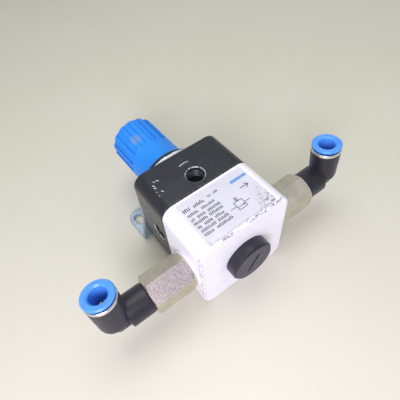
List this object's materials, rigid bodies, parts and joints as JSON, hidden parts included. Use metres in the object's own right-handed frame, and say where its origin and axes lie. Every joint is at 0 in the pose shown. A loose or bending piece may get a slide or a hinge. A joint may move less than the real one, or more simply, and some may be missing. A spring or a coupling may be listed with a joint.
{
  "type": "air pressure regulator",
  "caption": "Block-shaped diaphragm air pressure regulator with a fluted locking knob, sheet mounting bracket and swivelling push-in elbow fittings.",
  "frame": {"origin": "on the rear mounting plane, straight behind the middle of the port axis", "axes": "+X along the ports from inlet to outlet, +Y along the knob's axis from valve plug to knob, +Z out of the labelled face. The regulator is drawn lying on its back."},
  "size_m": [0.1438, 0.1095, 0.0531],
  "materials": {
    "white_paint": "white powder coat, satin",
    "black_paint": "black anodised look, satin",
    "label_film": "printed silver-white film",
    "black_plastic": "moulded, satin",
    "blue_plastic": "moulded knob, satin",
    "ring_blue": "moulded acetal",
    "nickel_brass": "nickel-plated brass",
    "zinc_steel": "zinc-plated sheet steel",
    "bright_nut": "turned, bright",
    "bright_sleeve": "nickel-plated sleeve",
    "seal_ring": "natural nylon",
    "rubber": "nitrile rubber",
    "spring_steel": "spring steel",
    "machined_steel": "turned steel",
    "brass": "turned brass",
    "plate_aluminium": "turned aluminium"
  },
  "bodies": {
    "root": {"lower_housing": "white_paint", "bonnet": "black_paint", "bonnet_screws": "machined_steel", "rating_label": "label_film", "diaphragm": "rubber", "valve_plug": "black_plastic", "plug_seal": "rubber", "valve_seat": "brass", "valve_spring": "spring_steel", "regulating_spring": "spring_steel", "thrust_washer": "machined_steel", "spindle_bush": "brass", "panel_nut": "bright_nut", "bracket": "zinc_steel", "inlet_port_seal": "seal_ring", "inlet_stud": "nickel_brass", "inlet_swivel_ring": "spring_steel", "inlet_swivel_seal": "rubber", "outlet_port_seal": "seal_ring", "outlet_stud": "nickel_brass", "outlet_swivel_ring": "spring_steel", "outlet_swivel_seal": "rubber"},
    "spindle": {"adjusting_spindle": "machined_steel", "spindle_circlip": "spring_steel", "knob_snap_ring": "spring_steel"},
    "knob": {"knob": "blue_plastic"},
    "spring_nut": {"spring_nut": "brass"},
    "diaphragm_plates": {"lower_plate": "brass", "upper_plate": "plate_aluminium", "hub_nut": "brass"},
    "poppet": {"valve_poppet": "brass", "poppet_seal": "rubber", "valve_stem": "machined_steel"},
    "inlet_elbow": {"inlet_elbow": "black_plastic", "inlet_tube_seal": "rubber", "inlet_grip_ring": "spring_steel", "inlet_metal_sleeve": "bright_sleeve"},
    "inlet_ring": {"inlet_release_ring": "ring_blue"},
    "outlet_elbow": {"outlet_elbow": "black_plastic", "outlet_tube_seal": "rubber", "outlet_grip_ring": "spring_steel", "outlet_metal_sleeve": "bright_sleeve"},
    "outlet_ring": {"outlet_release_ring": "ring_blue"}
  },
  "joints": [
    {"name": "knob_turn", "type": "hinge", "parent": "root", "child": "spindle", "pos_m": [0, 0, 0.025], "axis": [0, 1, 0], "range_deg": [-900, 900]},
    {"name": "knob_pull", "type": "slide", "parent": "spindle", "child": "knob", "axis": [0, 1, 0], "range_m": [0, 0.003]},
    {"name": "nut_travel", "type": "slide", "parent": "root", "child": "spring_nut", "axis": [0, 1, 0], "range_m": [-0.00376, 0.00376], "deforming": ["regulating_spring"]},
    {"name": "valve_open", "type": "slide", "parent": "root", "child": "diaphragm_plates", "axis": [0, -1, 0], "range_m": [0, 0.001], "stiffness_N_per_m": 1000, "springref_m": -0.0005, "deforming": ["diaphragm"]},
    {"name": "poppet_lift", "type": "slide", "parent": "root", "child": "poppet", "axis": [0, -1, 0], "range_m": [0, 0.001], "deforming": ["valve_spring"]},
    {"name": "inlet_swivel", "type": "hinge", "parent": "root", "child": "inlet_elbow", "pos_m": [-0.0644, 0, 0.025], "axis": [1, 0, 0], "continuous": true},
    {"name": "inlet_release", "type": "slide", "parent": "inlet_elbow", "child": "inlet_ring", "axis": [0, -0.165, -0.9863], "range_m": [0, 0.0008], "stiffness_N_per_m": 300, "springref_m": -0.0003},
    {"name": "outlet_swivel", "type": "hinge", "parent": "root", "child": "outlet_elbow", "pos_m": [0.0644, 0, 0.025], "axis": [1, 0, 0], "continuous": true},
    {"name": "outlet_release", "type": "slide", "parent": "outlet_elbow", "child": "outlet_ring", "axis": [0, -0.0819, -0.9966], "range_m": [0, 0.0008], "stiffness_N_per_m": 300, "springref_m": -0.0003}
  ],
  "couplings": [
    {"joint": "nut_travel", "follows": "knob_turn", "m_per_rad": 0.00023873},
    {"joint": "poppet_lift", "follows": "valve_open", "ratio": 1}
  ]
}
